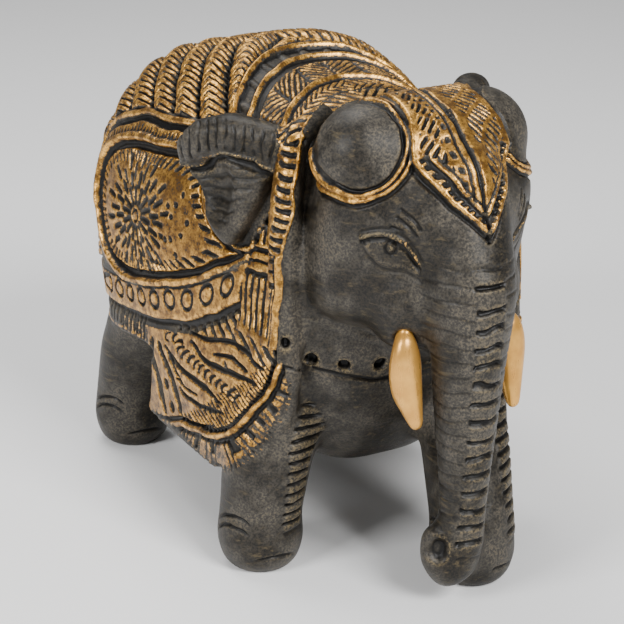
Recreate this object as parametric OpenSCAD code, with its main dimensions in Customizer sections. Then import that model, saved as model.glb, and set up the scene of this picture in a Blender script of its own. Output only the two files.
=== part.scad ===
// Carved standing elephant with a saddle cloth, and two tusks glued into bored sockets.
// The elephant faces -Y and walks: both left legs are a stride ahead of the right ones.
// Z = 0 is the plane it stands on.

/* [Torso] */
// Greatest width of the torso, under the cloth
torso_width = 96; // [88:1:102]
// Height of the back over the shoulders
shoulder_height = 124; // [120:1:128]
// Height of the middle of the back
back_height = 132; // [129:1:136]
// Height of the back over the rump
rump_height = 127; // [121:1:131]
// Height of the belly above the ground
belly_height = 23; // [18:1:30]
// Distance of the rump's rearmost point behind the origin
rump_rear = 82; // [78:1:88]

/* [Head] */
// Width across both cheeks
head_width = 64; // [58:1:68]
// Height of the crown
crown_height = 134; // [131:1:137]
// Radius of each dome on the forehead
dome_radius = 13.5; // [12:0.5:14]
// Distance of the trunk's centre line in front of the origin
trunk_front = 76; // [73:0.5:79]
// Radius of the trunk where it leaves the face
trunk_root_radius = 12; // [11:0.5:13]
// Radius of the trunk just above its curl
trunk_end_radius = 6.5; // [6:0.5:7.5]

/* [Ears] */
// How far the ears stand off the middle plane
ear_reach = 46; // [44:0.5:48]
// Thickness of an ear at its edge
ear_thickness = 7; // [6:0.5:8]
// How far the left ear is carved closer in than the right one
left_ear_in = 4; // [0:0.5:4]
// How far the left ear is carved above the right one
left_ear_up = 2; // [0:0.5:3]

/* [Legs] */
// Radius of a leg at the knee
leg_radius = 12.5; // [11:0.5:13]
// Radius of a foot where it meets the ground
foot_radius = 12.5; // [12:0.5:14]
// How far the left legs stand ahead of the right ones
stride = 35; // [28:1:38]

/* [Cloth] */
// How far the saddle cloth stands proud of the torso
cloth_thickness = 2; // [1.5:0.25:3]

/* [Tusks] */
// Length of the part of a tusk that shows
tusk_length = 25; // [20:1:28]
// Width of a tusk at its widest
tusk_width = 9; // [7.5:0.5:10]
// Diameter of the round tenon that is glued into the head
tenon_diameter = 4; // [3:0.5:5]
// Length of the tenon above the tusk's shoulder
tenon_length = 8; // [6:1:10]
// Gap all round between a tusk and its socket, filled with glue
glue_gap = 0.1; // [0.08:0.02:0.2]

/* [Hidden] */

$fn = 24;
wood_black = [0.17, 0.16, 0.14];
tusk_gold = [0.84, 0.65, 0.36];

half_torso = torso_width / 2;
half_head = head_width / 2;
skirt_inside = 33;
flap_edge_radius = 2.5;
// Moves every node along Y, so that the middle of the whole length is at Y = 0.
centring = (trunk_front - 1 + trunk_root_radius - rump_rear - cloth_thickness) / 2;
// A foot widens from its sole in two steps, of these heights.
sole_depth = 3;
sole_rise = 5;
ankle_z = 15;

// Places of the feet, as [side, distance along Y]: side -1 is the elephant's right.
right_front_foot = [-37, -27.5];
left_front_foot = [10, right_front_foot.y - stride];
right_rear_foot = [-34, 66];
left_rear_foot = [34, right_rear_foot.y - stride];

// The trunk's centre line from the face to the end of its curl, as [x, y, z, radius].
curl_y = -trunk_front + 3;
trunk_line = [
    [0, -trunk_front + 8, 104, trunk_root_radius + 1],
    [-1, -trunk_front + 1, 88, trunk_root_radius],
    [-1.8, -trunk_front, 72, trunk_root_radius - 2],
    [-2, -trunk_front, 58, trunk_root_radius - 3.2],
    [-2, -trunk_front, 44, trunk_end_radius + 1],
    [-1.8, -trunk_front + 0.5, 30, trunk_end_radius],
    [-1.2, curl_y - 1, 18, trunk_end_radius],
    [-1.8, curl_y, 12.5, trunk_end_radius],
    [-4.5, curl_y, 10.5, trunk_end_radius - 0.5],
    [-8, curl_y, 14.5, trunk_end_radius - 1.5],
    [-8.5, curl_y, 20, trunk_end_radius - 2]
];

// The tail's centre line down the rump, as [x, y, z, radius].
tail_line = [
    [0, rump_rear - 2.5, 96, 3.5],
    [1, rump_rear - 1.5, 80, 3.5],
    [3, rump_rear - 2, 62, 3],
    [4, rump_rear - 8.5, 47, 2.8],
    [4, rump_rear - 16, 38, 3.2]
];

module ball(place, radius) translate(place) sphere(radius);

module egg(place, radii) translate(place) scale(radii) sphere(1);

// Two equal eggs, one each side of the middle plane, which make a boxy cross-section.
module egg_pair(half_gap, y, z, radii) {
    for (side = [-1, 1]) egg([side * half_gap, y, z], radii);
}

// Everything drawn for the right side, and its mirror image.
module both_sides() {
    children();
    mirror([1, 0, 0]) children();
}

// A tube through a list of [x, y, z, radius].
module tube_through(line) {
    for (i = [0 : len(line) - 2]) hull() {
        ball([line[i].x, line[i].y, line[i].z], line[i][3]);
        ball([line[i + 1].x, line[i + 1].y, line[i + 1].z], line[i + 1][3]);
    }
}

// The barrel of the animal, grown outward by grow for the cloth that lies on it.
module torso(grow = 0) {
    shoulder_r = (shoulder_height - belly_height) / 2;
    rump_r = (rump_height - belly_height - 8) / 2;
    middle_r = (back_height - belly_height) / 2;
    hull() {
        egg_pair(6, -22, belly_height + shoulder_r, [31 + grow, 29 + grow, shoulder_r + grow]);
        egg_pair(9, 24, back_height - middle_r, [half_torso - 11 + grow, 40, middle_r + grow]);
        egg_pair(13, rump_rear - 36, rump_height - rump_r,
                 [half_torso - 14 + grow, 36 + grow, rump_r + grow]);
    }
}

// Side outline of the cloth, in the plane of Y and Z.
module cloth_outline() {
    polygon([
        [-36, 150], [-42, 118], [-44, 62], [-42, 50], [-34, 38], [-20, 28], [-2, 25], [13, 24],
        [33, 23], [26, 47], [60, 43], [90, 50], [90, 150]
    ]);
}

// The cloth lies on the torso above, and hangs straight down its sides below.
module cloth() {
    difference() {
        intersection() {
            hull() {
                torso(cloth_thickness);
                translate([0, 0, -30]) torso(cloth_thickness - 3);
            }
            rotate([90, 0, 90])
                translate([0, 0, -70])
                    linear_extrude(140) cloth_outline();
        }
        translate([-skirt_inside, -60, -1]) cube([2 * skirt_inside, 160, 70]);
    }
}

// The rounded flap of the cloth that hangs beside the belly, over the top of the front leg.
module cloth_flap() {
    hull() for (place = [
        [-42.5, 22, 50], [-41.5, 30.5, 25], [-41.5, 9, 26.5], [-42.5, -12, 25.5], [-44.5, -28, 34],
        [-40.5, -36, 41], [-34.5, -39.5, 48], [-33.5, -41, 62], [-37, -38, 70], [-38, -19, 70],
        [-42, 9, 56]
    ]) ball(place, flap_edge_radius, $fn = 16);
}

// The raised band down the front edge of the cloth, between ear and neck.
module cloth_lip() {
    tube_through([
        [-16, -26, 126, 3],
        [-27, -31, 122, 4],
        [-33.5, -36, 106, 4.5],
        [-35, -38, 84, 4.5],
        [-35, -40, 62, 4]
    ]);
}

module neck() {
    hull() {
        egg_pair(6, -20, 92, [24, 20, 32]);
        egg_pair(5, -42, 98, [20, 12, 30]);
    }
}

module head() {
    hull() {
        egg_pair(half_head - 18, -46, 96, [16.5, 18, 22]);
        egg_pair(half_head - 15, -45, 86, [14, 14, 12]);
        egg_pair(half_head - 18, -53, 108, [15, 15, 16]);
        egg([0, -62, 94], [13, 14, 22]);
    }
    hull() {
        egg_pair(half_head - dome_radius - 1, -48.5, crown_height - dome_radius,
                 [dome_radius, dome_radius, dome_radius]);
        egg([0, -57, 116], [13, 14, 16]);
    }
    // Brows and the flat forehead between them
    hull() {
        egg_pair(half_head - 20, -63, 106, [10, 10, 9]);
        egg([0, -66, 110], [12, 12, 16]);
    }
}

// The muzzle from which the tusks come out, and the lower lip under the trunk.
module muzzle() {
    hull() {
        egg_pair(12, -60, 84, [10, 12, 14]);
        egg([0, -64, 92], [12, 12, 14]);
    }
    hull() {
        egg([0, -58, 74], [9, 11, 9]);
        egg([0, -40, 72], [16, 10, 16]);
    }
}

module trunk() tube_through(trunk_line);

module tail() tube_through(tail_line);

// One leg from the torso down to a flat sole: top, knee and foot are places on its axis.
module leg(top, knee, foot) {
    hull() {
        ball(top, leg_radius + 4);
        ball(knee, leg_radius);
    }
    hull() {
        ball(knee, leg_radius);
        ball([foot.x, foot.y, ankle_z], leg_radius - 1);
    }
    hull() {
        ball([foot.x, foot.y, ankle_z], leg_radius - 1);
        translate([foot.x, foot.y, 0])
            cylinder(h = sole_depth, r1 = foot_radius - 4, r2 = foot_radius - 1.5);
        translate([foot.x, foot.y, sole_depth])
            cylinder(h = sole_rise, r1 = foot_radius - 1.5, r2 = foot_radius);
    }
}

module legs() {
    leg([-26, -22, 56], [-35, -29, 34], right_front_foot);
    leg([24, -26, 60], [16, -48, 36], left_front_foot);
    leg([-26, 50, 56], [-33, 61, 32], right_rear_foot);
    leg([26, 44, 56], [32, 32, 32], left_rear_foot);
}

// One ear: a shallow bowl under a thick rolled top edge, lying back against the cloth.
module ear() {
    edge = ear_thickness / 2;
    difference() {
        hull() {
            ball([-ear_reach, -8, 113], edge);
            ball([-ear_reach + 6, -15, 119], edge);
            ball([-ear_reach + 16, -27, 119], edge);
            ball([-ear_reach + 8.5, -23.5, 104], edge);
            ball([-ear_reach + 5, -20, 94.5], edge);
            ball([-ear_reach + 2, -14, 100], edge);
            egg([-30, -14, 110], [6, 8, 9]);
        }
        egg([-ear_reach - 3.5, -17, 107], [9.5, 10.5, 12.5]);
    }
    tube_through([
        [-ear_reach + 0.5, -7.5, 116, edge + 0.8],
        [-ear_reach + 2, -12, 119.5, edge + 1.2],
        [-ear_reach + 7, -18, 121.5, edge + 1.4],
        [-ear_reach + 14.5, -27, 120, edge + 1]
    ]);
}

// One tusk in its place on the right side, grown outward by grow for its socket.
module tusk_form(grow = 0) {
    shoulder_z = 78;
    hull() {
        egg([-15.5, -67, shoulder_z - 2], [2.5 + grow, 2.5 + grow, 2.5 + grow]);
        egg([-16, -68.5, shoulder_z - tusk_length * 0.42],
            [tusk_width / 2 + grow, 3.6 + grow, tusk_length * 0.42 + grow]);
        egg([-15, -72.5, shoulder_z - tusk_length + 1.5], [2 + grow, 1.7 + grow, 2.2 + grow]);
    }
    translate([-15, -66.5, shoulder_z - 4])
        cylinder(h = tenon_length + 4 + grow, d = tenon_diameter + 2 * grow);
}

module carved_body() color(wood_black) {
    translate([0, centring, 0]) difference() {
        union() {
            torso();
            cloth();
            both_sides() cloth_flap();
            both_sides() cloth_lip();
            neck();
            head();
            muzzle();
            trunk();
            legs();
            tail();
            ear();
            mirror([1, 0, 0]) translate([left_ear_in, 0, left_ear_up]) ear();
        }
        both_sides() tusk_form(glue_gap);
    }
}

module tusk_right() color(tusk_gold) translate([0, centring, 0]) tusk_form();

module tusk_left() color(tusk_gold) mirror([1, 0, 0]) translate([0, centring, 0]) tusk_form();

carved_body();
tusk_right();
tusk_left();
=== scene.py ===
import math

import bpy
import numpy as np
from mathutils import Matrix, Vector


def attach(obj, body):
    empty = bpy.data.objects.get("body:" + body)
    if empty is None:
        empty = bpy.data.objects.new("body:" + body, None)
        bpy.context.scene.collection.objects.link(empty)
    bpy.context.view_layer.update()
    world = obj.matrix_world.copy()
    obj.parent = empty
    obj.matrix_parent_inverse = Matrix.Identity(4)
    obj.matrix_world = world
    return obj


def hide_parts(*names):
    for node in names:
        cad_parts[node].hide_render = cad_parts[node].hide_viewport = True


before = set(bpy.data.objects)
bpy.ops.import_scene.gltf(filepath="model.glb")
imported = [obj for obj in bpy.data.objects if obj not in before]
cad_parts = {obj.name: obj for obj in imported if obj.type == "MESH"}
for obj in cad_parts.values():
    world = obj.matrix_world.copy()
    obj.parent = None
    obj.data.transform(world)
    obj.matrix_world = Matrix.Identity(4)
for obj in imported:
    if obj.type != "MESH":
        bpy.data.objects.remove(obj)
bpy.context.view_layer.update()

# Carved elephant, painted black, with gold on the carved relief.
# The CAD body is remeshed and smoothed, then every carved detail is cut into that mesh
# by height functions of the place on the surface, in millimetres.
# Both sides carry the same carving, so most places are given with x as the distance
# from the middle plane.

MM = 0.001

# ---------------------------------------------------------------- small helpers


def ramp(low, high, value):
    """Smooth step from 0 at low to 1 at high, either way round."""
    t = np.clip((value - low) / (high - low), 0, 1)
    return t * t * (3 - 2 * t)


def line(distance, width):
    """Rounded ridge or groove profile: 1 on the line, 0 beyond its half width."""
    return np.clip(1 - (distance / (width / 2)) ** 2, 0, 1)


def wave(along, pitch):
    """Distance from the nearest multiple of pitch, with its sign."""
    return along - np.round(along / pitch) * pitch


def notches(along, pitch, width):
    """Profile of parallel cuts every pitch along a coordinate."""
    return line(wave(along, pitch), width)


def inside(low, high, value, soft=0.35):
    """1 between two limits, with soft edges."""
    return ramp(low - soft, low + soft, value) * (1 - ramp(high - soft, high + soft, value))


def unit(vector):
    """A vector of length 1 in the same direction."""
    vector = np.asarray(vector, float)
    return vector / np.linalg.norm(vector)


def spline(points, steps=5, closed=False):
    """Catmull-Rom curve through a few points."""
    p = np.array(points, float)
    if closed:
        p = np.vstack([p[-1:], p, p[:2]])
    else:
        p = np.vstack([2 * p[:1] - p[1:2], p, 2 * p[-1:] - p[-2:-1]])
    t = (np.arange(steps) / steps)[:, None]
    curve = [0.5 * (2 * b + (c - a) * t + (2 * a - 5 * b + 4 * c - d) * t ** 2
                    + (3 * b - a - 3 * c + d) * t ** 3)
             for a, b, c, d in zip(p[:-3], p[1:-2], p[2:-1], p[3:])]
    return np.vstack(curve if closed else curve + [p[-2:-1]])


def to_polyline(u, v, points):
    """Distance to an open polyline, and the length along it of the nearest point."""
    best = np.full(u.shape, np.inf)
    along = np.zeros(u.shape)
    start = 0.0
    for (u0, v0), (u1, v1) in zip(points[:-1], points[1:]):
        du, dv = u1 - u0, v1 - v0
        length = math.hypot(du, dv)
        t = np.clip(((u - u0) * du + (v - v0) * dv) / length ** 2, 0, 1)
        d = np.hypot(u - u0 - t * du, v - v0 - t * dv)
        nearer = d < best
        best = np.where(nearer, d, best)
        along = np.where(nearer, start + t * length, along)
        start += length
    return best, along


def to_polygon(u, v, points):
    """Signed distance to a closed outline, negative inside, and the length along it."""
    closed = [tuple(point) for point in points] + [tuple(points[0])]
    distance, along = to_polyline(u, v, closed)
    crossed = np.zeros(u.shape, bool)
    for (u0, v0), (u1, v1) in zip(closed[:-1], closed[1:]):
        spans = (v0 > v) != (v1 > v)
        crossed ^= spans & (u < (u1 - u0) * (v - v0) / ((v1 - v0) or 1e-9) + u0)
    return np.where(crossed, -distance, distance), along


# Large odd numbers that mix a cell's place and the seed, and the bits kept of the result.
CELL_MIX = np.array([374761393, 668265263, 2147483647])
SEED_MIX = 97
LAST_MIX = 1274126177
KEPT_BITS = 0x7FFFFFFF


def value_noise(p, scale, seed):
    """Smooth repeatable noise from 0 to 1 at points p, with cells of size scale."""
    q = p / scale
    base = np.floor(q).astype(np.int64)
    f = q - base
    f = f * f * (3 - 2 * f)
    total = np.zeros(len(p))
    for corner in np.ndindex(2, 2, 2):
        c = base + np.array(corner)
        h = (c @ CELL_MIX + seed * SEED_MIX) & KEPT_BITS
        h = ((h ^ (h >> 13)) * LAST_MIX) & KEPT_BITS
        weight = np.prod(np.where(np.array(corner), f, 1 - f), axis=1)
        total += weight * ((h ^ (h >> 16)) & 0xFFFF) / 0xFFFF
    return total


def hand_wobble(p, reach, scale, seed):
    """Small smooth shifts of every place, by up to reach along each axis."""
    shift = [value_noise(p, scale, seed + axis) - 0.5 for axis in range(3)]
    return p + 2 * reach * np.column_stack(shift)


# ---------------------------------------------------------------- base mesh

BODY_VOXEL = 0.7 * MM
TUSK_VOXEL = 0.4 * MM
# Rounds of smoothing: all over to lose the facets, then more where the form is soft.
FACET_ROUNDS = 8
FORM_ROUNDS = 50
TUSK_ROUNDS = 14
# The smoothed body is lowered by this much, and its soles are flattened at the floor.
SOLE_DROP = 0.1
# Rounds of averaging that tell a groove from the relief, and the relief from the form.
NEAR_ROUNDS = 5
BROAD_ROUNDS = 40


def remeshed_copy(node, name, voxel):
    """A CAD node's mesh as an even quad mesh, fine enough to smooth."""
    piece = bpy.data.objects.new(name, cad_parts[node].data.copy())
    bpy.context.scene.collection.objects.link(piece)
    remesh = piece.modifiers.new("even", "REMESH")
    remesh.mode = "VOXEL"
    remesh.voxel_size = voxel
    bake_modifiers(piece)
    return piece


def bake_modifiers(piece):
    """Replaces a piece's mesh with the result of its modifiers."""
    depsgraph = bpy.context.evaluated_depsgraph_get()
    mesh = bpy.data.meshes.new_from_object(piece.evaluated_get(depsgraph))
    piece.modifiers.clear()
    piece.data = mesh


def places(mesh):
    """Places of the vertices, in millimetres."""
    co = np.empty(len(mesh.vertices) * 3)
    mesh.vertices.foreach_get("co", co)
    return co.reshape(-1, 3) / MM


def set_places(mesh, p):
    """Moves the vertices to places in millimetres."""
    mesh.vertices.foreach_set("co", (p * MM).ravel())
    mesh.update()


def edge_pairs(mesh):
    """The two vertices of every edge."""
    e = np.empty(len(mesh.edges) * 2, np.int64)
    mesh.edges.foreach_get("vertices", e)
    return e.reshape(-1, 2)


def normals(mesh):
    """Directions in which the surface faces at the vertices."""
    n = np.empty(len(mesh.vertices) * 3)
    mesh.vertices.foreach_get("normal", n)
    return n.reshape(-1, 3)


def smoothed(values, edges, rounds, amount=0.5):
    """Averages values over the mesh's neighbours; amount may differ at each vertex."""
    values = values.reshape(len(values), -1).copy()
    count = len(values)
    a, b = edges.T
    degree = np.bincount(a, minlength=count) + np.bincount(b, minlength=count)
    degree = np.maximum(degree, 1)[:, None]
    amount = np.broadcast_to(np.asarray(amount, float), count)[:, None]
    for _ in range(rounds):
        total = np.empty_like(values)
        for k in range(values.shape[1]):
            total[:, k] = (np.bincount(a, values[b, k], count)
                           + np.bincount(b, values[a, k], count))
        values += amount * (total / degree - values)
    return values


# ---------------------------------------------------------------- carving

# Reach, size and seed of the shifts that keep the carved lines from being quite true.
WOBBLES = [(0.45, 6.5, 11), (0.2, 2.4, 21)]
# A mask at or below this is taken as 0.
NO_MASK = 0.004


class Carving:
    """Height of the carving over the base, and how much of it is painted gold."""

    def __init__(self, p, n):
        self.p = p
        self.q = np.column_stack([np.abs(p[:, 0]), p[:, 1], p[:, 2]])
        self.outward = n[:, 0] * np.sign(p[:, 0])
        self.wobbly = self.q
        for reach, scale, seed in WOBBLES:
            self.wobbly = hand_wobble(self.wobbly, reach, scale, seed)
        self.height = np.zeros(len(p))
        self.gold = np.zeros(len(p))


class Patch:
    """The part of the surface where a mask is above 0."""

    def __init__(self, carving, where):
        self.carving = carving
        self.index = np.flatnonzero(where > NO_MASK)
        self.where = where[self.index]
        self.p = carving.p[self.index]
        self.q = carving.wobbly[self.index]
        self.x, self.y, self.z = self.q.T

    def carve(self, height):
        """Raises the surface, or sinks it where height is negative."""
        self.carving.height[self.index] += self.where * height

    def paint(self, where, gold=1.0):
        """Brings the gold towards the amount given, all the way where the mask is 1."""
        w = self.where * where
        self.carving.gold[self.index] += w * (gold - self.carving.gold[self.index])

    def cut(self, profile, depth):
        """A groove, with no gold in it."""
        self.carve(-depth * profile)
        self.paint(ramp(0.1, 0.55, profile), 0)

    def ridge(self, profile, height, gold=1.0):
        """A raised line, painted gold."""
        self.carve(height * profile)
        self.paint(ramp(0.05, 0.4, profile), gold)


# Directions in which the side of the elephant is laid out flat for the flap and the face,
# as seen from in front of its right shoulder.
SEEN_ACROSS = np.array([-0.876, -0.483, 0])
SEEN_UP = np.array([-0.172, 0.313, 0.934])


def seen(q, origin):
    """Place across and up from an origin, seen from in front of the right shoulder."""
    rel = q - np.array(origin)
    return rel @ SEEN_ACROSS, rel @ SEEN_UP


# ---------------------------------------------------------------- cloth outline

# Top of the fan on the flap, from which the flap's outline and cuts are measured.
FAN = (45.5, 28, 52)
# Far enough out to close an outline beyond the cloth.
BEYOND = 200
FLAP_HEM = [(-6, -25.5), (-1.7, -25.5), (5, -27), (7.4, -28.5), (10.8, -31.5), (13.9, -34.5),
            (17.4, -38), (22.5, -39), (28, -37.5), (33, -33.5), (38, -28), (41, -22),
            (43.5, -15), (44, -9.5)]
FLAP_OUTLINE = FLAP_HEM + [(BEYOND, -9.5), (BEYOND, BEYOND), (-BEYOND, BEYOND), (-BEYOND, -24)]
# The hem behind the flap, the flap's rear edge below that hem, and where the rear panel starts.
REAR_HEM_Y = [27.5, 61.5, 92]
REAR_HEM_Z = [47.5, 43.5, 50.5]
PANEL_EDGE_Z = [22, 47.5]
PANEL_EDGE_Y = [35.5, 27.5]
REAR_PANEL_Y = 33
# The front edge of the cloth down the side.
FRONT_EDGE_Z = [62, 84, 106, 122, 126]
FRONT_EDGE_Y = [-41.5, -40.5, -40, -34.5, -27.5]
# The front edge over the back, and how far the lines over the back bow forward at the sides.
BACK_EDGE = -20
BACK_BOW = 0.018
# The cloth's front lip, across and up from FAN, and the height of its lower end.
LIP_UP = [-4.8, 8.8, 19.8, 28.2, 48.8]
LIP_ACROSS = [38.5, 40, 40.5, 42.6, 45.4]
LIP_BOTTOM = 64


def back_line(x, y):
    """Distance behind the band that crosses the back; it bows forward at the sides."""
    return y + BACK_BOW * x ** 2


def behind_front_edge(x, y, z):
    """Distance behind the front edge of the cloth, down the side and over the back."""
    side = y - np.interp(z, FRONT_EDGE_Z, FRONT_EDGE_Y)
    top = back_line(x, y) - BACK_EDGE
    return side + (top - side) * ramp(120, 126, z)


def behind_lip(q):
    """Distance behind the cloth's front lip, seen from in front of the shoulder."""
    across, up = seen(q, FAN)
    return np.interp(up, LIP_UP, LIP_ACROSS) - across


def above_hem(q):
    """Distance above the hem of the cloth, negative below it."""
    y, z = q[:, 1], q[:, 2]
    across, up = seen(q, FAN)
    flap, _ = to_polygon(across, up, FLAP_OUTLINE)
    rear = z - np.interp(y, REAR_HEM_Y, REAR_HEM_Z)
    panel = np.interp(z, PANEL_EDGE_Z, PANEL_EDGE_Y) - y
    return np.minimum(np.maximum(rear, panel), -flap)


# ---------------------------------------------------------------- back of the cloth

ROPE_PITCH = 14.4
STRAND_PITCH = 3.3
# The back's bands are laid out round a line at this height, at this radius.
BACK_AXIS_Z = 66
BACK_RADIUS = 60
# Raised lines over the back: place by back_line(), and width.
BACK_RIDGES = [(18.3, 1.9), (10.4, 1.8), (-4.9, 1.6)]
# Length of each block of leaf strokes.
LEAF_BLOCK = 8.5


def carve_ropes(r):
    """Plaited ropes that sweep over the back, with deep grooves between them."""
    phase = wave((r.x + r.y - 0.6 * r.z) / ROPE_PITCH, 1)
    across = phase * ROPE_PITCH * 0.72
    along = (r.z - 0.9 * r.x + 0.75 * r.y) / 1.2
    strand = along + 0.8 * np.abs(across)
    lobe = 0.5 + 0.5 * np.cos(2 * math.pi * strand / STRAND_PITCH)
    crown = np.sqrt(np.clip(1 - (phase / (0.41 + 0.09 * lobe)) ** 2, 0, 1))
    r.carve(-2.4 + 3.7 * crown)
    r.paint(ramp(0.3, 0.7, crown))
    r.cut(notches(strand - STRAND_PITCH / 2, STRAND_PITCH, 1.25) * crown, 1.0)
    r.carve(-0.3 * notches(strand, STRAND_PITCH, 0.6) * crown)


def carve_back_bands(r):
    """Lines, leaf strokes, herringbone and teeth from the ropes to the neck."""
    t = back_line(r.x, r.y)
    side = BACK_RADIUS * np.arctan2(r.x, r.z - BACK_AXIS_Z)
    r.paint(inside(-20.5, 19.5, t), 0.9)
    for centre, width in BACK_RIDGES:
        r.ridge(line(t - centre, width), 0.9)
    r.cut(inside(11.6, 17.2, t) * (1 - 0.35 * notches(side, 6.5, 2.5)), 1.2)
    r.cut(inside(6.2, 9.3, t), 0.9)
    r.cut(inside(-7.2, -6.1, t, 0.3), 0.8)
    leaves = inside(-3.6, 5.8, t)
    block = np.floor(side / LEAF_BLOCK) % 2
    strokes = notches(side + np.where(block, 0.8, -1.1) * t, 2.1, 0.9)
    r.cut(leaves * np.maximum(strokes, notches(side, LEAF_BLOCK, 1.6)), 0.7)
    r.paint(leaves, 0.75 * (1 - ramp(0.1, 0.55, strokes)))
    bones = notches(side + 1.1 * np.abs(t + 10), 2.4, 1.0)
    r.cut(inside(-13, -7.4, t) * bones, 0.8)
    r.cut(inside(-13.8, -13.2, t, 0.25), 0.5)
    r.cut(inside(-19.2, -13.9, t) * notches(side - 0.7 * t, 2.6, 1.25), 1.0)
    r.ridge(line(t - BACK_EDGE, 1.4), 0.5)


# ---------------------------------------------------------------- side of the cloth
# Outlines here are places in (y, z).

MEDALLION = spline([(-21, 88.8), (-9.5, 82), (2, 76), (21, 70), (39, 66.8), (51, 72), (57, 87),
                    (55, 99), (42, 105.5), (26, 107.5), (10, 108.5), (2.5, 105.5), (-0.5, 99),
                    (-6, 93), (-13, 89.8)], closed=True)
FLOWER = (30.6, 86.5)
PETALS = 14
CENTRE_RADIUS = 1.6
# Rings of gouge cuts round the flower: start, end, width, and turn in petals.
GOUGES = [(2.4, 8.8, 2.0, 0), (7.2, 13.0, 2.0, 0.5), (9.6, 15.5, 1.8, 0.12), (13.2, 18.5, 1.8, 0.62)]
PITS = [(14.5, 93.5), (12.3, 90.8), (11.2, 94.4), (13.6, 83.5), (11.2, 84.2), (9, 80.4), (7.2, 86.5),
        (5.6, 90.5), (18.5, 75.8), (8.8, 97.5)]
BAND_EDGE_Y = [-30, -21, -9.5, 2, 21, 39, 60]
BAND_EDGE_Z = [94, 89.5, 82, 76, 70, 66.8, 65]
# Middles of the ring marks, and the steps of the rings before the first and after the last.
RING_Y = [-14.7, -5.8, 3.3, 12, 19.7, 27.5, 35, 42.5]
STEP_BEFORE = 9
STEP_AFTER = 7.5
# Length of band for each ring, how far its middle is below the medallion, and its radius.
RING_PITCH = 8.4
RING_DROP = 5.9
RING_RADIUS = 2.5
RINGS_START_Y = -19.5
# Behind RUMP_Y the band turns round the rump, and is measured from RUMP_X towards the middle.
RUMP_Y = 50
RUMP_X = 48


def below_medallion(y, z):
    """Distance below the medallion's lower edge, level round the rump."""
    slope = np.interp(y, [-20, 0, 21, 38], [0.85, 0.87, 0.96, 1.0])
    return (np.interp(y, BAND_EDGE_Y, BAND_EDGE_Z) - z) * slope


def gouge(spoke, radius, start, end, width):
    """A cut that is pointed at both ends, along the radius."""
    middle = np.clip((radius - start) / (end - start), 0, 1)
    return np.clip(np.sin(math.pi * middle), 0, 1) ** 0.6 * line(spoke, width)


def carve_flower(r, d):
    """Rings of gouge cuts round a small centre, with pits and strokes towards the rim."""
    u, v = r.y - FLOWER[0], r.z - FLOWER[1]
    radius = np.hypot(u, v)
    turn = np.arctan2(v, u) * PETALS / (2 * math.pi)
    cut = line(radius - CENTRE_RADIUS, 0.8)
    for start, end, width, shift in GOUGES:
        spoke = wave(turn + shift, 1) * 2 * math.pi / PETALS * radius
        cut = np.maximum(cut, gouge(spoke, radius, start, end, width))
    for y, z in PITS:
        pit = np.hypot(r.y - y, r.z - z)
        cut = np.maximum(cut * ramp(1.0, 1.8, pit), line(pit, 2.0))
    rays = np.arctan2(v, u) * 16
    cut = np.maximum(cut, notches(rays, 1.5, 0.8) * inside(-5.6, -2.6, d))
    field = 1 - ramp(-1.9, -1.3, d)
    r.carve(-0.5 * field)
    r.paint(field, 0.95)
    r.cut(field * cut, 0.85)


def carve_medallion(r):
    """Sunk field with the flower, its rim, and the bands round the top."""
    d, along = to_polygon(r.y, r.z, MEDALLION)
    top = ramp(-2, 2, r.z - np.interp(r.y, [-20, 60], [91, 82]))
    r.cut(inside(-2.2, -0.1, d), 1.4)
    carve_flower(r, d)
    r.ridge(inside(0, 1.9, d, 0.3), 1.0)
    band = inside(0.3, 4.5, d) * top
    r.ridge(band, 0.5)
    r.cut(band * notches(along, 1.7, 0.6) * inside(1.4, 4.0, d), 0.4)
    r.cut(inside(4.9, 6.5, d) * top, 1.2)
    r.ridge(line(d - 7.5, 1.8) * top, 0.7)
    ear, _ = to_polygon(r.y, r.z, EAR_OUTLINE)
    r.cut(line(ear - 1.6, 0.9) * (r.z < 112), 0.7)


def carve_ring_band(r):
    """Gold band of ring marks under the medallion, carried level round the rump."""
    e = below_medallion(r.y, r.z)
    band = inside(1.9, 11.3, e)
    r.ridge(band, 0.5)
    behind = np.where(r.y < RUMP_Y, r.y, RUMP_Y + (RUMP_X - r.x) * 1.1)
    count = np.interp(behind, RING_Y, np.arange(len(RING_Y)))
    count += (np.maximum(behind - RING_Y[-1], 0) / STEP_AFTER
              + np.minimum(behind - RING_Y[0], 0) / STEP_BEFORE)
    ring = np.hypot(wave(count, 1) * RING_PITCH, e - RING_DROP)
    row = band * (r.y > RINGS_START_Y)
    r.cut(row * line(ring - RING_RADIUS, 1.2), 0.7)
    r.carve(0.25 * row * line(ring, 4.0))
    r.cut(inside(2.0, 2.7, e, 0.3), 0.5)
    r.cut(inside(11.5, 13.8, e), 1.1)


# ---------------------------------------------------------------- flap
# Places here are across and up from FAN, in the plane that seen() gives.

UPPER_LEAF = [(13.5, -0.6), (18.7, -2.4), (24.2, -2.8), (29.5, -5.2), (33.2, -9.1), (35, -10.2)]
LOWER_LEAF = [(5.6, -4.6), (10.5, -10.7), (17.4, -15.1), (22.2, -20.1)]
CHAIN = [(7, -1.9), (9.8, -2.7), (10.5, -5.2), (14.3, -8.8), (19, -12.5), (24.9, -16.3), (28, -19)]
BORDER = [(11.5, -27.2), (18, -28.9), (22.2, -29.2), (25.3, -28.2), (28, -25.9), (32, -21.3),
          (35.5, -17.8), (38, -13.9), (39.3, -8.8)]
BORDER_OUTLINE = [(-BEYOND, -27.2)] + BORDER + [(40, 0), (40, BEYOND), (-BEYOND, BEYOND)]
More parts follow.
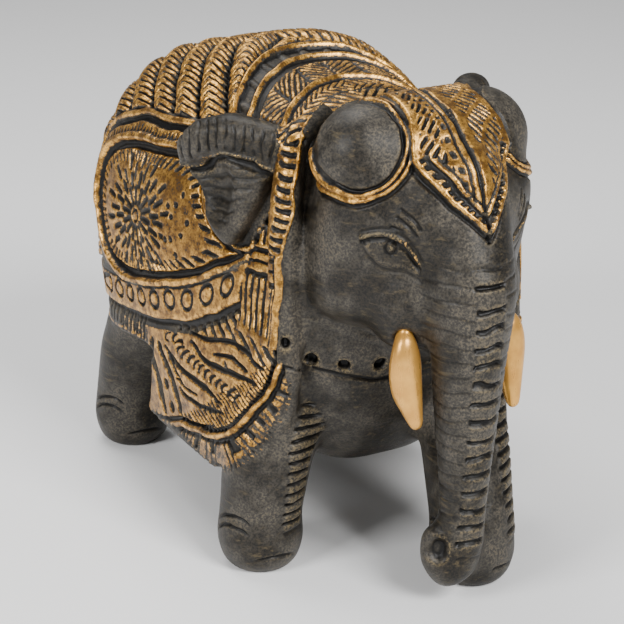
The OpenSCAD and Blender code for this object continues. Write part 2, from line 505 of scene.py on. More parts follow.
# Cuts of the fan: width at the middle, then the points it runs through.
FAN_CUTS = [
    (1.7, UPPER_LEAF),
    (1.9, [(13.9, -3.2), (18, -8.5), (24.2, -11), (30.4, -12.9), (33.2, -14.6)]),
    (1.3, [(20.8, -6.9), (24.2, -7.2), (27.7, -8.4), (30.8, -10.7)]),
    (1.1, [(24.2, -8.9), (24.3, -11)]),
    (1.5, LOWER_LEAF),
    (0.9, [(9.4, -14), (12.5, -16.3), (16, -17.9)]),
    (1.6, [(10.5, -16.7), (12.5, -19), (18.7, -21.7), (23.6, -22.9)]),
    (2.0, [(1.1, -2.2), (1.5, -9.1), (2.9, -14.6), (5.6, -24.5)]),
    (1.8, [(3.3, -3.6), (6.6, -11.2), (8.4, -16), (10.7, -24.5)]),
    (1.6, [(5.2, -14), (5.9, -17)]),
    (1.6, [(7.4, -21), (8.2, -24)]),
    (1.0, [(6.5, -6.5), (9.6, -12.5), (11.5, -15.5)]),
    (1.0, [(12, -25.7), (16, -26.8), (21.5, -26.6)]),
]


def stroke(across, up, points, width):
    """A cut through a few points, narrowing to both ends."""
    curve = spline(points, 4)
    d, along = to_polyline(across, up, curve)
    length = np.hypot(*np.diff(curve, axis=0).T).sum()
    taper = np.clip(np.minimum(along, length - along) / (0.3 * length), 0, 1)
    return line(d, width * (0.35 + 0.65 * np.sqrt(taper)))


def carve_fan(r, a, b, border):
    """Two long leaves with a chain of crescents between them, and fine strokes below."""
    panel = inside(1, 90, -border, 0.4) * ramp(-0.9, -0.1, a)
    r.paint(panel, 0.95)
    cut = np.zeros(len(a))
    for width, points in FAN_CUTS:
        cut = np.maximum(cut, stroke(a, b, points, width))
    chain_d, chain_s = to_polyline(a, b, spline(CHAIN, 4))
    crescents = notches(chain_s + 0.9 * line(chain_d, 3.2), 2.1, 1.1)
    cut = np.maximum(cut, crescents * (1 - ramp(1.2, 1.6, chain_d)))
    low = ramp(-1, 0, -(b + 24.6 - 0.62 * (a - 12))) * (a > 10)
    fringe = np.maximum(low, inside(-4.2, -1.2, border) * (a > 17))
    cut = np.maximum(cut, fringe * notches(a + 0.75 * b, 1.25, 0.6))
    above_leaf = ramp(0.6, 1.2, b - np.interp(a, *np.array(UPPER_LEAF).T)) * ramp(8, 10, a)
    hatch = notches(0.9 * a + 0.44 * b, 2.3, 1.25)
    gaps = 1 - 0.6 * notches(b - 0.5 * a, 7, 2)
    cut = np.maximum(cut * (1 - above_leaf), above_leaf * hatch * gaps)
    r.cut(panel * cut, 1.0)


def carve_pleats(r, a, b):
    """Gold panel of fine upright pleats behind the fan."""
    pleats = inside(-9, -0.4, a)
    r.paint(pleats, 0.55)
    r.cut(pleats * notches(a - 0.08 * b, 1.25, 0.65), 0.5)


def carve_border(r, border, border_along, hem, hem_along):
    """Gold line round the fan, and the fringe of bars and teeth outside it."""
    outside = ramp(0.5, 1.1, border)
    r.paint(outside, 0.75)
    r.cut(outside * notches(border_along, 1.5, 0.5), 0.25)
    bars = notches(border_along, 4.6, 1.7) * inside(2.0, 5.2, border)
    r.cut(outside * bars, 0.8)
    r.cut(inside(-1.9, -0.8, border), 0.9)
    r.cut(inside(0.8, 2.0, border), 0.9)
    r.ridge(line(border, 1.9), 0.7)
    teeth = inside(-0.6, 1.7, hem)
    r.paint(teeth, 0.45)
    r.cut(teeth * notches(hem_along, 1.6, 0.8), 0.35)


def carve_side_cloth(r):
    """Everything from the ring band's lower edge to the hem."""
    a, b = seen(r.q, FAN)
    e = below_medallion(r.y, r.z)
    border, border_along = to_polygon(a, b, BORDER_OUTLINE)
    hem = above_hem(r.q)
    _, hem_along = to_polyline(a, b, FLAP_HEM)
    r.paint(np.ones(len(a)), 0.3)
    carve_fan(r, a, b, border)
    carve_pleats(r, a, b)
    carve_border(r, border, border_along, hem, hem_along)
    rear = r.y > REAR_PANEL_Y
    r.ridge(line(hem - 1.2, 1.4) * rear, 0.5, 0.7)
    r.cut(ramp(2.25, 2.95, hem) * rear * notches(r.y + 0.4 * r.z, 3.1, 1.4), 0.5)
    r.cut((1 - ramp(13.6, 15.4, e)) * ramp(10, 14, e), 0.4)


# ---------------------------------------------------------------- strip before the ear

STRIP_BOTTOM, STRIP_TOP = 67.5, 121
# The strip's rear edge under the ear.
STRIP_BACK_Z = [66, 79, 97, 125]
STRIP_BACK_Y = [-20, -20.2, -25.5, -29]
# Bars between the strip's upper and lower halves: height and width.
BARS = [(92, 1.7), (88.9, 0.8), (85.4, 1.9)]


def carve_strip(r):
    """Hatched strip between the ear and the smooth lip by the neck."""
    s = behind_lip(r.q)
    r.paint(np.ones(len(s)))
    upper = ramp(92.6, 93.4, r.z)
    lower = 1 - ramp(84, 84.8, r.z)
    edge = 1.9 - 1.1 * upper
    r.carve(0.4 * inside(0, edge, s))
    r.cut(line(s - 2.2, 0.5) * (1 - upper), 0.6)
    slanted = notches(r.z - 0.2 * r.y, 2.5, 1.5) * upper * inside(edge, 4.8, s, 0.2)
    back_lines = notches(s - 6.4, 1.9, 1.0) * upper * ramp(5.6, 5.9, s) * (1 - ramp(108, 112, r.z))
    bars = sum(line(r.z - level + 0.1 * s, width) for level, width in BARS) * ramp(2.2, 2.6, s)
    upright = notches(s, 1.6, 0.85) * lower * ramp(69, 71, r.z) * ramp(2.7, 3.0, s)
    cut = np.maximum(np.maximum(slanted, back_lines), np.maximum(bars, upright))
    r.cut(np.clip(cut, 0, 1), 0.85)


# ---------------------------------------------------------------- ears
# Outlines here are places in (y, z), on the right ear.

EAR_OUTLINE = [(-2.3, 113), (-1.5, 117), (-5, 122.5), (-16, 127), (-26, 125.5), (-30.3, 120), (-29, 113),
               (-26, 103), (-22, 91.5), (-18, 90.3), (-14.5, 92.5), (-9, 98.5)]
EAR_BOWL = spline([(-6, 112), (-6.3, 106), (-9.5, 101.5), (-14, 98), (-18.5, 95), (-22.5, 101),
                   (-25.5, 108), (-28, 116), (-16, 118)], closed=True)
EAR_RIM = [(-6, 116), (-10.5, 119.5), (-16.5, 121.5), (-26, 120), (-29, 118)]


def carve_ear(r, shift):
    """Ribs on the rolled rim, and faint strokes in the bowl."""
    y, z = r.y - shift[:, 1], r.z - shift[:, 2]
    r.paint(np.ones(len(y)), 0)
    rim_d, _ = to_polyline(y, z, EAR_RIM)
    rim = 1 - ramp(4.7, 5.3, rim_d)
    across, _ = seen(r.q - shift, FAN)
    ribs = notches(across + 1.2 * value_noise(r.p, 4, 3), 2.4, 0.9) * value_noise(r.p, 2.5, 8)
    r.carve(rim * (0.4 - 0.8 * ribs * inside(-9, 3.6, rim_d)))
    r.carve(0.5 * line(rim_d - 4.8, 1.4) * (z < 119))
    r.paint(line(rim_d - 4.6, 1.2) * (z < 119), 0.4)
    r.carve(-1.0 * line(rim_d - 6.3, 2.2) * (z < 117))
    bowl_d, _ = to_polygon(y, z, EAR_BOWL)
    bowl = (1 - ramp(-1.2, 0, bowl_d)) * ramp(6.6, 7.6, rim_d)
    r.carve(-0.35 * bowl * notches(z + 0.2 * y + 2.4 * value_noise(r.p, 6, 5), 2.9, 1.5))


# ---------------------------------------------------------------- head

# Middle of a dome, and the axis of the rings round it.
DOME = np.array([18.6, -47, 122])
DOME_AXIS = unit([0.5, -0.79, 0.35])
# Half width of the forehead cloth at each height, below 0 under its tip.
FOREHEAD_Z = [100, 105, 110, 116, 122, 128, 134]
FOREHEAD_HALF = [-5.5, 0, 5.5, 10, 13, 12, 10]
# Middle of the eye, from which its lines are measured across and up.
EYE = (18.9, -66.3, 101.4)
# Gold of the lines that are rubbed with brass, and how high a line has to be for it.
BRASS_LINE = 0.5
BRASS_HEIGHT = 0.5
UPPER_LID = [(-8.6, 2.8), (-5.5, 3.4), (-2.4, 3.4), (1.4, 1.6), (4.1, -1.3), (6.2, -4.8), (6.9, -7.4)]
LOWER_LID = [(-8.6, 2.8), (-5.5, -2.1), (-2, -4.1), (2.8, -4.5), (6.5, -6.5)]
# Raised and sunk lines of the eye: height, width, distance below the line's points, points.
EYE_LINES = [
    (0.6, 1.4, 0, UPPER_LID),
    (-0.8, 1.5, 1.4, UPPER_LID),
    (-0.3, 1.3, -1.3, UPPER_LID),
    (0.3, 2.2, 0, LOWER_LID),
    (-0.3, 1.6, 1.9, LOWER_LID),
    (-0.6, 1.1, 0, [(-0.3, 6.9), (2.8, 4.8), (5.2, 2.1)]),
    (-0.6, 1.1, 0, [(1, 8.6), (4.1, 6.2), (6.2, 3.4)]),
    (-0.5, 1.0, 0, [(-1.4, 4.8), (1.4, 3.8)]),
]


def carve_dome(r):
    """Gold rings round each dome of the forehead."""
    rel = r.q - DOME
    along = rel @ DOME_AXIS
    radius = np.sqrt(np.maximum((rel ** 2).sum(1) - along ** 2, 0))
    front = ramp(-9, -7, along) * ramp(-0.2, -1.0, forehead_distance(r))
    low = ramp(118, 112, r.z)
    r.cut(line(radius - 11.3, 1.3) * front, 0.8)
    r.ridge(line(radius - 12.3, 1.1) * front, 0.8)
    r.ridge(line(radius - 13.0, 1.2) * front * low, 0.5)
    r.cut(line(radius - 13.0, 0.8) * front * (1 - low), 0.6)
    r.ridge(line(radius - 13.8, 1.2) * front, 0.8)
    r.carve(-0.6 * line(radius - 15, 1.4) * front)


def forehead_distance(r):
    """Distance inside the forehead cloth's edge, negative outside it."""
    half = np.interp(r.z, FOREHEAD_Z, FOREHEAD_HALF)
    wider = 1 + 0.25 * ramp(-1, 1, r.p[:, 0]) * ramp(116, 120, r.z)
    return (half * wider - r.x) * 0.8


def carve_forehead_cloth(r):
    """Leaf-shaped cloth on the forehead: midrib, veins and a toothed border."""
    d = forehead_distance(r)
    cloth = ramp(-0.3, 0.3, d)
    r.ridge(cloth, 1.2)
    lower = ramp(124, 121, r.z)
    row = inside(1.2, 3.4, d, 0.25) * lower
    tooth = notches(r.z + 0.5 * r.x, 2.0, 1.1) * inside(0.9, 2.2, d, 0.2)
    r.cut(row * (1 - 0.9 * tooth), 1.1)
    over = r.z + 0.9 * np.maximum(r.y + 62, 0)
    side = r.x * np.sign(r.p[:, 0])
    r.cut(line(d - 4.8, 0.8) * lower, 0.5)
    r.cut(line(side + 0.3, 1.6), 0.9)
    r.cut(line(side + 2.6, 0.8) * ramp(111, 114, over), 0.5)
    cells = line(side + 4.0, 1.4) * notches(over, 3.0, 1.6) * ramp(112, 114, over)
    inner = ramp(1.4, 2.0, d - 3.6 * lower) * ramp(3.9, 4.4, np.abs(side + 1))
    strokes = notches(over + 1.25 * r.x, 2.7, 1.5) * (1 - notches(over - 0.9 * r.x, 7.5, 2.6))
    r.cut(cells, 0.5)
    r.cut(inner * strokes, 0.8)
    r.carve(-0.7 * line(d + 1.2, 1.5))


def carve_eye(r):
    """Half-closed eye under a heavy lid, with brow lines above it."""
    a, b = seen(r.q, EYE)
    for height, width, below, points in EYE_LINES:
        d, _ = to_polyline(a, b + below, spline(points, 4))
        r.carve(height * line(d, width))
        if height > BRASS_HEIGHT:
            r.paint(line(d, width) * ramp(-4, 2, a), BRASS_LINE)
    iris = np.hypot(a + 1.2, b + 0.2)
    r.carve(-0.6 * line(iris - 1.5, 0.9) + 0.3 * line(iris, 1.6))


# ---------------------------------------------------------------- trunk, chest, legs, tail
# Centre lines in (x, y, z) on the real sides.

TRUNK_LINE = [(0, -66.5, 104), (-1, -73.5, 88), (-1.8, -74.5, 72), (-2, -74.5, 58), (-2, -74.5, 44),
              (-1.8, -74, 30), (-1.2, -72.5, 18), (-1.8, -71.5, 12.5), (-4.5, -71.5, 10.5),
              (-8, -71.5, 14.5), (-8.5, -71.5, 20)]
TRUNK_MIDDLE = -1.8
# Middle and half sizes, in (x, z), of the hollow in the front of the trunk's curled tip.
TIP_HOLLOW = (-10.0, 18.4)
TIP_HALF = (3.0, 4.4)
# Each leg's centre line, and the side to which its row of notches is turned.
LEGS = {
    "right_front": ([(-26, -20.5, 56), (-35, -27.5, 34), (-37, -26, 0)], 0.35),
    "left_front": ([(24, -24.5, 60), (16, -46.5, 36), (10, -61, 0)], 0.55),
    "right_rear": ([(-26, 51.5, 56), (-33, 62.5, 32), (-34, 67.5, 0)], 0.35),
    "left_rear": ([(26, 45.5, 56), (32, 33.5, 32), (34, 32.5, 0)], -0.35),
}
# Heights of the two ankle grooves and of the groove over the toes.
ANKLE_Z = (17.5, 14.5)
TOE_Z = 6.0
TAIL_LINE = [(0, 81, 96), (1, 82, 80), (3, 81.5, 62), (4, 75, 47), (4, 67.5, 38)]
CHEST_HOLES = [(37, -41.4, 70), (28.3, -39, 63), (21, -44.6, 62), (11.8, -47.7, 61.7), (3, -49, 61.5)]
CHEST_LINE_Z = 67.5
CHEST_GROOVE_Z = 56.5


def to_tube(p, points):
    """Distance from a 3-D centre line, length along it, and the angle round it from -Y."""
    best = np.full(len(p), np.inf)
    along, side, front = np.zeros((3, len(p)))
    start = 0.0
    for a, b in zip(np.array(points[:-1], float), np.array(points[1:], float)):
        d = b - a
        length = np.linalg.norm(d)
        t = np.clip((p - a) @ d / length ** 2, 0, 1)
        off = p - a - t[:, None] * d
        r = np.linalg.norm(off, axis=1)
        nearer = r < best
        best = np.where(nearer, r, best)
        along = np.where(nearer, start + t * length, along)
        side = np.where(nearer, off[:, 0], side)
        front = np.where(nearer, -off[:, 1], front)
        start += length
    return best, along, np.arctan2(side, front)


def carve_trunk(r):
    """A ladder of notches down the front of the trunk, and a hollow in its tip."""
    side = np.abs(r.p[:, 0] - TRUNK_MIDDLE)
    ladder = (1 - ramp(3.4, 4.8, side)) * ramp(-70.5, -72.5, r.y) * ramp(13, 18, r.z)
    cuts = notches(r.z + 1.8 * value_noise(r.p, 4, 9), 5.2, 2.0)
    r.carve(ladder * (0.15 - 1.2 * cuts))
    faint = notches(r.z + 1.3 * value_noise(r.p, 6, 4), 4.1, 1.2)
    r.carve(-0.25 * (1 - ladder) * ramp(20, 26, r.z) * faint)
    tip = np.hypot((r.p[:, 0] - TIP_HOLLOW[0]) / TIP_HALF[0], (r.z - TIP_HOLLOW[1]) / TIP_HALF[1])
    r.carve(-2.2 * (1 - ramp(0.45, 1.0, tip)) * ramp(-70, -72.5, r.y))


def carve_leg(r, name, turn, angle):
    """Notches down the ridge of a front leg, and curved grooves at the ankle and the toes."""
    turned = wave(angle - turn, 2 * math.pi)
    if name.endswith("front"):
        ladder = (1 - ramp(0.26, 0.4, np.abs(turned))) * inside(13, 52, r.z, 2)
        r.carve(ladder * (0.5 - 1.2 * notches(r.z, 3.1, 1.4)))
    outer = wave(angle - 1.35 * np.sign(r.p[:, 0]), 2 * math.pi)
    near = 1 - ramp(0.35, 0.6, np.abs(outer))
    for level in ANKLE_Z:
        r.carve(-0.8 * near * line(r.z - level + 9 * (outer - 0.1) ** 2, 1.2))
    toe = wave(angle - 0.1 * np.sign(r.p[:, 0]), 2 * math.pi)
    r.carve(-0.7 * (1 - ramp(0.3, 0.7, np.abs(toe))) * line(r.z - TOE_Z + 3 * toe ** 2, 1.4))


def carve_chest(r):
    """Drilled holes in a row across the chest, a raised line above and a groove below."""
    sag = 0.010 * r.x ** 2
    r.carve(0.3 * line(r.z - CHEST_LINE_Z - sag, 3.0))
    r.carve(-0.8 * line(r.z - CHEST_GROOVE_Z - 0.5 * sag, 1.5))
    for place in CHEST_HOLES:
        hole = np.linalg.norm(r.q - np.array(place), axis=1)
        r.cut(1 - ramp(1.2, 1.9, hole), 2.2)


def carve_tail(r, along):
    """Tail with fine notches, raised from the rump."""
    r.paint(np.ones(len(r.x)), 0)
    r.carve(0.9 - 0.5 * notches(along, 3.0, 1.1))


# ---------------------------------------------------------------- putting the carving together

LEFT_EAR_SHIFT = np.array([-4.0, 0, 2.0])
# How deep the neck lies behind the cloth's lip, and how much of the carving fades at the hem.
NECK_DEPTH = 1.8
HEM_FADE = 0.7


def ear_mask(c):
    """Where the ears are; the left ear sits closer in and higher than the right."""
    left = (c.p[:, 0] > 0)[:, None] * LEFT_EAR_SHIFT
    x, y, z = (c.q - left).T
    d, _ = to_polygon(y, z, EAR_OUTLINE)
    reach = x - np.interp(y, [-30, -14, 2], [28.5, 33, 39])
    return (1 - ramp(-0.2, 0.6, d)) * ramp(0, 2, reach), left


def trunk_mask(c):
    """Where the trunk is, up to the face."""
    d, _, _ = to_tube(c.p, TRUNK_LINE)
    return (1 - ramp(12.6, 13.6, d)) * (c.q[:, 1] < -60) * ramp(100, 94, c.q[:, 2])


def tail_mask(c):
    """Where the tail is, and the length along it."""
    d, along, _ = to_tube(c.p, TAIL_LINE)
    return (1 - ramp(4.2, 5, d)) * (c.q[:, 1] > 62), along


def cloth_mask(c, front, hem, uncovered):
    """Where the cloth is: behind its front edge, above its hem and not under an ear or the tail."""
    x, y, z = c.q.T
    chest = (y < -37) & (x < 31.5) & (z < 76)
    cloth = ramp(0.1, 0.5, front) * ramp(-0.5, 0.3, hem) * ramp(-0.45, -0.15, c.outward) * ~chest
    cloth *= uncovered * ((x > 29) | (z > 62) | (y > 74))
    cloth *= 1 - ramp(0.3, -0.3, behind_lip(c.wobbly)) * inside(LIP_BOTTOM, STRIP_TOP, z, 1.5) * (y < -25)
    return cloth


def carve_cloth(c, cloth):
    """Shares the cloth out among its patterns, and carves them."""
    x, y, z = c.q.T
    t = back_line(x, y)
    medallion_d, _ = to_polygon(y, z, MEDALLION)
    e = below_medallion(y, z)
    strip_back = np.interp(z, STRIP_BACK_Z, STRIP_BACK_Y)
    before_ear = 1 - ramp(-0.3, 0.3, y - strip_back)
    strip = before_ear * inside(STRIP_BOTTOM, STRIP_TOP, z, 0.8) * ramp(20, 23, x) * cloth
    over = ramp(105, 110, z) * cloth * (1 - strip)
    bands = over * (1 - ramp(19.3, 19.8, t))
    rest = cloth * (1 - strip) * (1 - bands)
    around = ramp(8.4, 9.0, medallion_d)
    ropes = rest * around * (1 - ramp(0.8, 1.4, e)) * ramp(50, 54, z)
    flank = rest * (1 - ropes)
    lower = flank * ramp(12.8, 13.8, e)
    medallion = flank * (1 - ramp(9.2, 9.8, medallion_d)) * (1 - ramp(3.0, 3.6, e))
    rings = flank * ramp(1.4, 2.0, e) * (1 - lower)

    carve_back_bands(Patch(c, bands))
    carve_ropes(Patch(c, ropes))
    carve_medallion(Patch(c, medallion))
    carve_ring_band(Patch(c, rings))
    carve_side_cloth(Patch(c, lower))
    carve_strip(Patch(c, strip))


def carve_head(c, head):
    """Domes, forehead cloth and eyes."""
    x, y, z = c.q.T
    carve_dome(Patch(c, head * (z > 100)))
    carve_forehead_cloth(Patch(c, head * (z > 103) * ramp(-42, -45, y)))
    carve_eye(Patch(c, head * (z < 116) * (y < -48) * (x > 6)))


def carve_legs(c, bare):
    """Every leg, from the foot to the belly."""
    for name, (path, turn) in LEGS.items():
        d, _, angle = to_tube(c.p, path)
        leg = (1 - ramp(14.5, 16, d)) * (1 - ramp(52, 58, c.p[:, 2]))
        patch = Patch(c, leg * bare)
        carve_leg(patch, name, turn, angle[patch.index])


def sculpt(mesh):
    """Cuts all the relief into a mesh, and returns the carving."""
    c = Carving(places(mesh), normals(mesh))
    x, y, z = c.q.T
    ear, ear_shift = ear_mask(c)
    trunk = trunk_mask(c)
    tail, tail_along = tail_mask(c)
    front = behind_front_edge(x, y, z)
    hem = above_hem(c.q)
    cloth = cloth_mask(c, front, hem, (1 - ear) * (1 - tail))
    bare = (1 - cloth) * (1 - trunk)

    carve_cloth(c, cloth)
    patch = Patch(c, ear)
    carve_ear(patch, ear_shift[patch.index])
    patch = Patch(c, tail)
    carve_tail(patch, tail_along[patch.index])
    carve_head(c, (1 - ramp(-0.4, 0.0, front)) * (z > 76) * (1 - trunk) * (y < -28))
    carve_trunk(Patch(c, trunk))
    carve_chest(Patch(c, bare * (y < -28) * (z > 50) * (z < 76) * (x < 40)))
    carve_legs(c, bare)

    neck = ramp(-0.2, -2, front) * ramp(31, 33, x) * inside(LIP_BOTTOM, 120, z, 3) * (1 - ear)
    c.height -= NECK_DEPTH * neck
    c.height *= 1 - HEM_FADE * ramp(1.6, 0.2, np.abs(hem)) * (x > 28)
    moved = c.p + normals(mesh) * (c.height * ramp(0.2, 1.2, z))[:, None]
    moved[:, 2] = np.maximum(moved[:, 2], 0.0)
    set_places(mesh, moved)
    return c


def smooth_base(mesh):
    """Rounds the facets of the CAD mesh, least at the ears, the hem and the soles."""
    edges = edge_pairs(mesh)
    p = places(mesh)
    q = np.column_stack([np.abs(p[:, 0]), p[:, 1], p[:, 2]])
    ear, _ = to_polygon(q[:, 1], q[:, 2], EAR_OUTLINE)
    crisp = np.maximum((1 - ramp(0, 4, ear)) * (q[:, 0] > 20), 1 - ramp(1, 6, q[:, 2]))
    crisp = np.maximum(crisp, (1 - ramp(2, 4, np.abs(above_hem(q)))) * (q[:, 0] > 28))
    p = smoothed(p, edges, FACET_ROUNDS)
    p = smoothed(p, edges, FORM_ROUNDS, 0.5 * (1 - 0.9 * crisp))
    p[:, 2] = np.maximum(p[:, 2] - SOLE_DROP, 0)
    set_places(mesh, p)


def store(mesh, name, values):
    """Keeps a number from 0 to 1 at each vertex, for the material."""
    attribute = mesh.attributes.new(name, "FLOAT", "POINT")
    attribute.data.foreach_set("value", np.clip(values, 0, 1).astype(np.float32))


def make_body():
    """The whole carved block, as one closed mesh."""
    piece = remeshed_copy("carved_body", "carved_elephant", BODY_VOXEL)
    smooth_base(piece.data)
    finer = piece.modifiers.new("finer", "SUBSURF")
    finer.levels = 1
    finer.render_levels = 1
    bake_modifiers(piece)
    mesh = piece.data
    carving = sculpt(mesh)
    edges = edge_pairs(mesh)
    near = smoothed(carving.height, edges, NEAR_ROUNDS)[:, 0]
    broad = smoothed(near, edges, BROAD_ROUNDS)[:, 0]
    store(mesh, "gold", smoothed(carving.gold, edges, 1)[:, 0])
    store(mesh, "high", 0.5 + 0.5 * (carving.height - broad))
    store(mesh, "groove", ramp(-0.05, -0.6, near - broad))
    mesh.shade_smooth()
    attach(piece, "root")
    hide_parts("carved_body")
    mesh.materials.clear()
    mesh.materials.append(painted_wood())


# ---------------------------------------------------------------- materials

class Nodes:
    """Short way to build a node tree."""

    def __init__(self, name):
        self.material = bpy.data.materials.new(name)
        self.material.use_nodes = True
        self.tree = self.material.node_tree
        self.tree.nodes.clear()
        self.out = self.tree.nodes.new("ShaderNodeOutputMaterial")
        self.shader = self.tree.nodes.new("ShaderNodeBsdfPrincipled")
        self.link(self.shader.outputs[0], self.out.inputs[0])

    def link(self, a, b):
        """Links an output to an input."""
        self.tree.links.new(a, b)

    def feed(self, value, socket):
        """Sets a socket to a number or colour, or links an output to it."""
        if isinstance(value, (int, float, tuple)):
            socket.default_value = value
        else:
            self.link(value, socket)

    def attribute(self, name):
        """The value stored at the vertices under a name."""
        node = self.tree.nodes.new("ShaderNodeAttribute")
        node.attribute_name = name
        return node.outputs["Fac"]

    def noise(self, scale, detail, roughness, stretch=(1, 1, 1)):
        """Noise fixed to the object, with scale cells to a metre."""
        coords = self.tree.nodes.new("ShaderNodeTexCoord")
        mapping = self.tree.nodes.new("ShaderNodeMapping")
        mapping.inputs["Scale"].default_value = stretch
        node = self.tree.nodes.new("ShaderNodeTexNoise")
        node.inputs["Scale"].default_value = scale
        node.inputs["Detail"].default_value = detail
        node.inputs["Roughness"].default_value = roughness
        self.link(coords.outputs["Object"], mapping.inputs["Vector"])
        self.link(mapping.outputs[0], node.inputs["Vector"])
        return node.outputs["Fac"]

    def math(self, operation, a, b):
        """One step of arithmetic on two values."""
        node = self.tree.nodes.new("ShaderNodeMath")
        node.operation = operation
        self.feed(a, node.inputs[0])
        self.feed(b, node.inputs[1])
        return node.outputs[0]

    def times(self, a, b):
        """Product of two values."""
        return self.math("MULTIPLY", a, b)

    def plus(self, a, b):
        """Sum of two values."""
        return self.math("ADD", a, b)

    def span(self, value, low, high, to_low=0.0, to_high=1.0):
        """A value's smooth change from to_low at low to to_high at high."""
        node = self.tree.nodes.new("ShaderNodeMapRange")
        node.interpolation_type = "SMOOTHSTEP"
        self.feed(value, node.inputs["Value"])
        ends = {"From Min": low, "From Max": high, "To Min": to_low, "To Max": to_high}
        for name, number in ends.items():
            node.inputs[name].default_value = number
        return node.outputs["Result"]

    def mix(self, factor, a, b):
        """Colour a, turning into b as factor goes from 0 to 1."""
        node = self.tree.nodes.new("ShaderNodeMix")
        node.data_type = "RGBA"
        self.feed(factor, node.inputs["Factor"])
        self.feed(a, node.inputs[6])
        self.feed(b, node.inputs[7])
        return node.outputs[2]

    def bump(self, height, strength, distance):
        """Fine relief of the whole material."""
        node = self.tree.nodes.new("ShaderNodeBump")
        node.inputs["Strength"].default_value = strength
        node.inputs["Distance"].default_value = distance
        self.link(height, node.inputs["Height"])
        self.link(node.outputs[0], self.shader.inputs["Normal"])

    def set(self, name, value):
        """Sets or links one of the shader's own inputs."""
        self.feed(value, self.shader.inputs[name])


# Colours, as the renderer's own linear values.
# The darkest black is also the painted shade in the hollows; the lighter black stands for wear and
# painted sheen.
BLACK_DEEP = (0.0025, 0.0022, 0.0020, 1)
BLACK_WORN_AND_SHEEN = (0.070, 0.063, 0.053, 1)
BRASS_RUB = (0.16, 0.12, 0.06, 1)
# The bright gold is also the painted highlight on the ridges; the dull gold is the painted shade below
# them and specks of wear.
GOLD_BRIGHT_AND_HIGHLIGHT = (0.95, 0.52, 0.12, 1)
GOLD_DULL_AND_SHADE = (0.14, 0.064, 0.014, 1)
TUSK_DARK = (0.58, 0.28, 0.055, 1)
TUSK_BRIGHT = (0.76, 0.40, 0.085, 1)
FLOOR_GREY = (0.86, 0.86, 0.86, 1)
SKY_WHITE = (1, 1, 1, 1)


def black_colour(m, high, speck, patch, grain):
    """Black, lighter in noise patches as wear and painted sheen, darkest in the hollows as painted shade,
    and rubbed with brass on the high spots.
    """
    # Lighter black in large noise patches, as wear and painted sheen; below the high spots it stays
    # darkest, as painted shade.
    sheen_and_wear = m.times(m.span(speck, 0.36, 0.64, 0.35, 1.0), m.span(patch, 0.38, 0.64, 0.08, 1.0))
    black = m.mix(m.times(sheen_and_wear, m.span(high, 0.34, 0.52)), BLACK_DEEP, BLACK_WORN_AND_SHEEN)
    rub = m.times(m.span(speck, 0.40, 0.62), m.span(high, 0.52, 0.72, 0.08, 0.85))
    dusty = m.times(m.span(speck, 0.48, 0.68), m.span(patch, 0.44, 0.68, 0.0, 0.40))
    strokes = m.times(m.span(grain, 0.50, 0.72), m.span(patch, 0.62, 0.36, 0.0, 0.40))
    brass = m.math("MAXIMUM", m.math("MAXIMUM", rub, dusty), strokes)
    brass = m.times(brass, m.span(high, 0.25, 0.5))
    return m.mix(brass, black, BRASS_RUB)


def gold_colour(m, high, speck, blot):
    """Gold, brighter on the high spots as painted highlight and duller below them as painted shade,
    patchy in tone, with dull specks of wear.
    """
    # Brighter gold where the surface stands high, as painted highlight, darker below it as painted shade,
    # and patchy by noise.
    highlight_and_tone = m.times(m.span(blot, 0.38, 0.62, 0.12, 1.0), m.span(high, 0.44, 0.68, 0.2, 1.0))
    golden = m.mix(highlight_and_tone, GOLD_DULL_AND_SHADE, GOLD_BRIGHT_AND_HIGHLIGHT)
    return m.mix(m.times(m.span(speck, 0.56, 0.42), 0.45), golden, GOLD_DULL_AND_SHADE)


def gold_cover(m, gold, high, groove, speck, blot):
    """How far gold hides the black: broken at its edges, and none in the grooves."""
    edge = m.plus(gold, m.span(speck, 0.3, 0.7, -0.42, 0.16))
    edge = m.plus(edge, m.span(blot, 0.34, 0.56, -0.22, 0.06))
    edge = m.plus(edge, m.span(high, 0.28, 0.58, -0.60, 0.08))
    cover = m.span(edge, 0.40, 0.68)
    return m.times(cover, m.span(groove, 0.15, 0.7, 1.0, 0.0))


def painted_wood():
    """Black paint rubbed with brass on high spots, and gold paint on the cloth's relief."""
    m = Nodes("black_and_gold_paint")
    gold = m.attribute("gold")
    high = m.attribute("high")
    groove = m.attribute("groove")
    speck = m.noise(1500, 4, 0.65)
    blot = m.noise(380, 3, 0.6)
    patch = m.noise(75, 3, 0.6)
    grain = m.noise(520, 4, 0.65, stretch=(1, 0.14, 1.6))
    black = black_colour(m, high, speck, patch, grain)
    golden = gold_colour(m, high, speck, blot)
    cover = gold_cover(m, gold, high, groove, speck, blot)
    m.set("Base Color", m.mix(cover, black, golden))
    m.set("Metallic", m.times(cover, 0.8))
    m.set("Roughness", m.plus(m.span(cover, 0, 1, 0.44, 0.30), m.span(speck, 0.3, 0.7, -0.06, 0.08)))
    m.set("Specular IOR Level", 0.25)
    m.bump(m.plus(m.times(grain, 0.6), m.times(speck, 0.4)), 0.4, 0.0004)
    return m.material


def gold_paint():
    """Satin gold of the tusks."""
    m = Nodes("tusk_gold_paint")
    patch = m.noise(160, 3, 0.6)
    grain = m.noise(500, 4, 0.6, stretch=(1.4, 1.4, 0.15))
    m.set("Base Color", m.mix(m.span(patch, 0.3, 0.7), TUSK_DARK, TUSK_BRIGHT))
    m.set("Metallic", 0.6)
    m.set("Roughness", m.span(grain, 0.3, 0.7, 0.26, 0.38))
    m.bump(grain, 0.2, 0.0003)
    return m.material


# ---------------------------------------------------------------- tusks

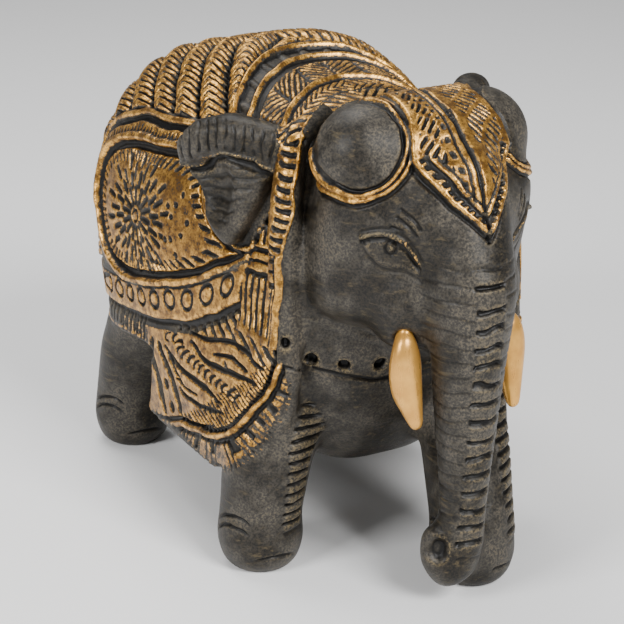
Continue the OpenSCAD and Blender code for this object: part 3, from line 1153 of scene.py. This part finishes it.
def make_tusk(node):
    """The CAD tusk, remeshed smooth."""
    piece = remeshed_copy(node, node + "_carved", TUSK_VOXEL)
    mesh = piece.data
    set_places(mesh, smoothed(places(mesh), edge_pairs(mesh), TUSK_ROUNDS))
    mesh.shade_smooth()
    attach(piece, "root")
    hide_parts(node)
    mesh.materials.clear()
    mesh.materials.append(gold_paint())


# ---------------------------------------------------------------- stage

FLOOR_HALF = 3.0
SKY_STRENGTH = 0.30
LAMP_AIM = (0, 0, 0.07)
# Name, place, size and power of each lamp.
LAMPS = [("key", (0.10, -0.75, 0.65), 0.35, 11.0),
         ("left", (-0.80, -0.20, 0.55), 0.35, 7.5),
         ("top", (-0.05, 0.35, 0.85), 0.5, 5.0)]


def make_floor():
    """Pale matt floor, far wider than the elephant."""
    mesh = bpy.data.meshes.new("floor")
    h = FLOOR_HALF
    mesh.from_pydata([(-h, -h, 0), (h, -h, 0), (h, h, 0), (-h, h, 0)], [], [(0, 1, 2, 3)])
    floor = bpy.data.objects.new("floor", mesh)
    bpy.context.scene.collection.objects.link(floor)
    m = Nodes("pale_floor")
    m.set("Base Color", FLOOR_GREY)
    m.set("Roughness", 0.7)
    mesh.materials.append(m.material)


def make_lamp(name, place, size, power):
    """Square lamp turned towards the elephant."""
    light = bpy.data.lights.new(name, "AREA")
    light.energy = power
    light.size = size
    piece = bpy.data.objects.new(name, light)
    bpy.context.scene.collection.objects.link(piece)
    piece.location = place
    aim = Vector(LAMP_AIM) - Vector(place)
    piece.rotation_mode = "QUATERNION"
    piece.rotation_quaternion = aim.to_track_quat("-Z", "Y")


def make_stage():
    """Pale floor, three soft lamps and an even sky."""
    make_floor()
    world = bpy.data.worlds.new("studio")
    bpy.context.scene.world = world
    world.use_nodes = True
    background = world.node_tree.nodes["Background"]
    background.inputs["Color"].default_value = SKY_WHITE
    background.inputs["Strength"].default_value = SKY_STRENGTH
    for name, place, size, power in LAMPS:
        make_lamp(name, place, size, power)


# Camera: turn from the front, rise, distance, and lens as a multiple of the sensor's width.
CAMERA_TURN = math.radians(-28.9)
CAMERA_RISE = math.radians(20.9)
CAMERA_DISTANCE = 0.559
LENS_PER_FRAME = 3.099
SENSOR_WIDTH = 36
CLIP_START = 0.01
# The point looked at, then a shift of it across and up the picture.
CAMERA_AIM = (0, 0.0075, 0.075)
AIM_ACROSS = -0.0018
AIM_UP = -0.0179


def make_camera():
    """Camera in front of the elephant's right shoulder, a little above it."""
    data = bpy.data.cameras.new("camera")
    data.sensor_width = SENSOR_WIDTH
    data.lens = SENSOR_WIDTH * LENS_PER_FRAME
    data.clip_start = CLIP_START
    camera = bpy.data.objects.new("camera", data)
    bpy.context.scene.collection.objects.link(camera)
    back = Vector((math.sin(CAMERA_TURN) * math.cos(CAMERA_RISE),
                   -math.cos(CAMERA_TURN) * math.cos(CAMERA_RISE), math.sin(CAMERA_RISE)))
    right = Vector((math.cos(CAMERA_TURN), math.sin(CAMERA_TURN), 0))
    up = back.cross(right)
    aim = Vector(CAMERA_AIM) + right * AIM_ACROSS + up * AIM_UP
    camera.matrix_world = (Matrix.Translation(aim + back * CAMERA_DISTANCE)
                           @ Matrix((right, up, back)).transposed().to_4x4())
    bpy.context.scene.camera = camera


make_stage()
make_camera()
make_body()
make_tusk("tusk_right")
make_tusk("tusk_left")
